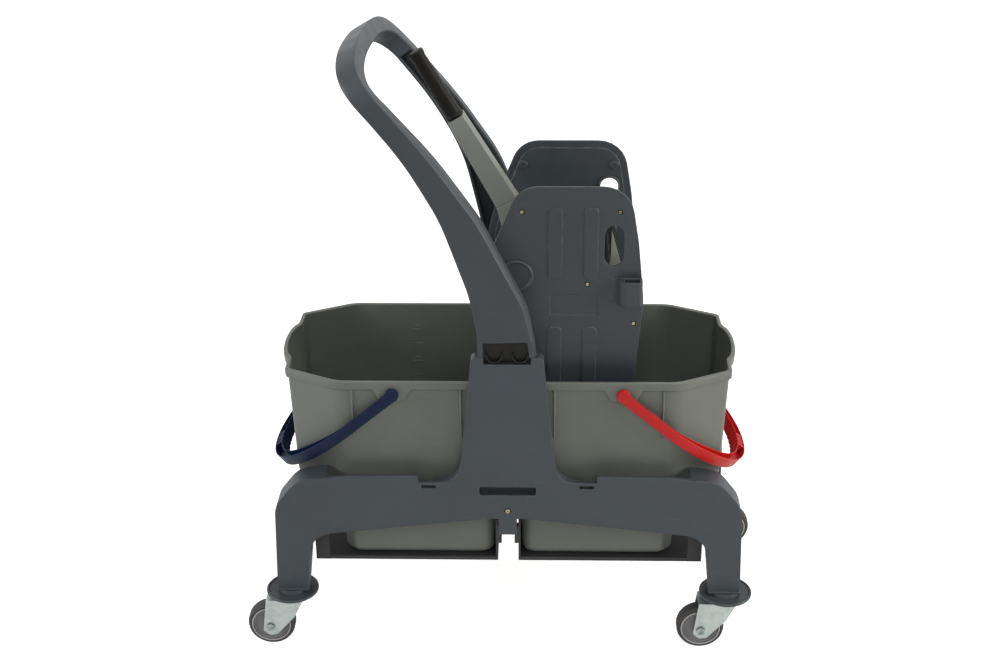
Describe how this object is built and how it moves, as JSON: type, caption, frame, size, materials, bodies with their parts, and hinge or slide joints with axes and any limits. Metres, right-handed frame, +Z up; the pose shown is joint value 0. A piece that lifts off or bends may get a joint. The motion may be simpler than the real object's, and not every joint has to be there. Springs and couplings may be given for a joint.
{
  "type": "double mop bucket trolley",
  "caption": "Mop trolley on swivel casters with a pair of lift-out buckets, coloured bails, a bowed push handle and a lever wringer with a hinged press jaw.",
  "frame": {"origin": "on the floor under the middle of the trolley", "axes": "+X along the trolley towards the wringer bucket, +Y across it towards the back, +Z up"},
  "size_m": [0.833, 0.374, 0.9544],
  "materials": {
    "slate_plastic": "satin, lightly grained",
    "tray_plastic": "satin",
    "latch_plastic": "glossy",
    "bucket_plastic": "satin",
    "lever_plastic": "satin",
    "blue_plastic": "satin",
    "red_plastic": "satin",
    "grip_rubber": "matt",
    "zinc_steel": "bright zinc plated",
    "brass_screw": "yellow zinc plated",
    "hub_plastic": "satin",
    "tyre_grey": "matt"
  },
  "bodies": {
    "chassis": {"side_frame_front": "slate_plastic", "side_frame_rear": "slate_plastic", "tray_left": "tray_plastic", "tray_right": "tray_plastic", "centre_bridge": "slate_plastic", "push_handle": "slate_plastic", "handle_latch_front": "latch_plastic", "handle_latch_rear": "latch_plastic", "frame_screws": "brass_screw", "tray_screws": "zinc_steel", "bumper_fl": "slate_plastic", "bumper_fr": "slate_plastic", "bumper_rl": "slate_plastic", "bumper_rr": "slate_plastic", "stem_fl": "zinc_steel", "stem_fr": "zinc_steel", "stem_rl": "zinc_steel", "stem_rr": "zinc_steel"},
    "swivel_fl": {"fork_fl": "zinc_steel", "axle_fl": "zinc_steel"},
    "wheel_fl": {"hub_fl": "hub_plastic", "tyre_fl": "tyre_grey"},
    "swivel_fr": {"fork_fr": "zinc_steel", "axle_fr": "zinc_steel"},
    "wheel_fr": {"hub_fr": "hub_plastic", "tyre_fr": "tyre_grey"},
    "swivel_rl": {"fork_rl": "zinc_steel", "axle_rl": "zinc_steel"},
    "wheel_rl": {"hub_rl": "hub_plastic", "tyre_rl": "tyre_grey"},
    "swivel_rr": {"fork_rr": "zinc_steel", "axle_rr": "zinc_steel"},
    "wheel_rr": {"hub_rr": "hub_plastic", "tyre_rr": "tyre_grey"},
    "left_bucket": {"bucket_left": "bucket_plastic"},
    "left_bail": {"bail_left": "blue_plastic"},
    "right_bucket": {"bucket_right": "bucket_plastic"},
    "right_bail": {"bail_right": "red_plastic"},
    "wringer": {"plate_front": "slate_plastic", "plate_rear": "slate_plastic", "pivot_covers": "slate_plastic", "sieve_wall": "lever_plastic", "jaw_pin": "zinc_steel", "spacer_tube": "zinc_steel", "plate_screws": "brass_screw", "hanger_bar": "slate_plastic"},
    "lever": {"lever_hub": "lever_plastic", "lever_arm": "lever_plastic", "lever_grip": "grip_rubber", "pivot_shaft": "zinc_steel", "crank_rollers": "zinc_steel", "return_spring": "zinc_steel"},
    "jaw": {"press_jaw": "lever_plastic"}
  },
  "joints": [
    {"name": "swivel_fl_turn", "type": "hinge", "parent": "chassis", "child": "swivel_fl", "pos_m": [-0.342, -0.146, 0.09], "axis": [0, 0, 1], "continuous": true},
    {"name": "wheel_fl_roll", "type": "hinge", "parent": "swivel_fl", "child": "wheel_fl", "pos_m": [-0.379, -0.146, 0.0375], "axis": [0, 1, 0], "continuous": true},
    {"name": "swivel_fr_turn", "type": "hinge", "parent": "chassis", "child": "swivel_fr", "pos_m": [0.342, -0.146, 0.09], "axis": [0, 0, 1], "continuous": true},
    {"name": "wheel_fr_roll", "type": "hinge", "parent": "swivel_fr", "child": "wheel_fr", "pos_m": [0.305, -0.146, 0.0375], "axis": [0, 1, 0], "continuous": true},
    {"name": "swivel_rl_turn", "type": "hinge", "parent": "chassis", "child": "swivel_rl", "pos_m": [-0.342, 0.146, 0.09], "axis": [0, 0, 1], "continuous": true},
    {"name": "wheel_rl_roll", "type": "hinge", "parent": "swivel_rl", "child": "wheel_rl", "pos_m": [-0.305, 0.146, 0.0375], "axis": [0, 1, 0], "continuous": true},
    {"name": "swivel_rr_turn", "type": "hinge", "parent": "chassis", "child": "swivel_rr", "pos_m": [0.342, 0.146, 0.09], "axis": [0, 0, 1], "continuous": true},
    {"name": "wheel_rr_roll", "type": "hinge", "parent": "swivel_rr", "child": "wheel_rr", "pos_m": [0.379, 0.146, 0.0375], "axis": [0, 1, 0], "continuous": true},
    {"name": "left_bucket_lift", "type": "slide", "parent": "chassis", "child": "left_bucket", "axis": [0, 0, 1], "range_m": [0, 0.045]},
    {"name": "left_bail_swing", "type": "hinge", "parent": "left_bucket", "child": "left_bail", "pos_m": [-0.1725, 0, 0.447], "axis": [0, 1, 0], "range_deg": [0, 130]},
    {"name": "right_bucket_lift", "type": "slide", "parent": "chassis", "child": "right_bucket", "axis": [0, 0, 1], "range_m": [0, 0.045]},
    {"name": "right_bail_swing", "type": "hinge", "parent": "right_bucket", "child": "right_bail", "pos_m": [0.1725, 0, 0.447], "axis": [0, -1, 0], "range_deg": [0, 105]},
    {"name": "wringer_lift", "type": "slide", "parent": "right_bucket", "child": "wringer", "axis": [0, 0, 1], "range_m": [0, 0.15]},
    {"name": "lever_pull", "type": "hinge", "parent": "wringer", "child": "lever", "pos_m": [0.013, 0, 0.624], "axis": [0, -1, 0], "range_deg": [0, 60], "stiffness_Nm_per_rad": 1, "springref_deg": -28.65},
    {"name": "jaw_press", "type": "hinge", "parent": "wringer", "child": "jaw", "pos_m": [0.092, 0, 0.44], "axis": [0, 1, 0], "range_deg": [0, 19]}
  ],
  "couplings": [
    {"joint": "jaw_press", "follows": "lever_pull", "ratio": 0.316}
  ]
}
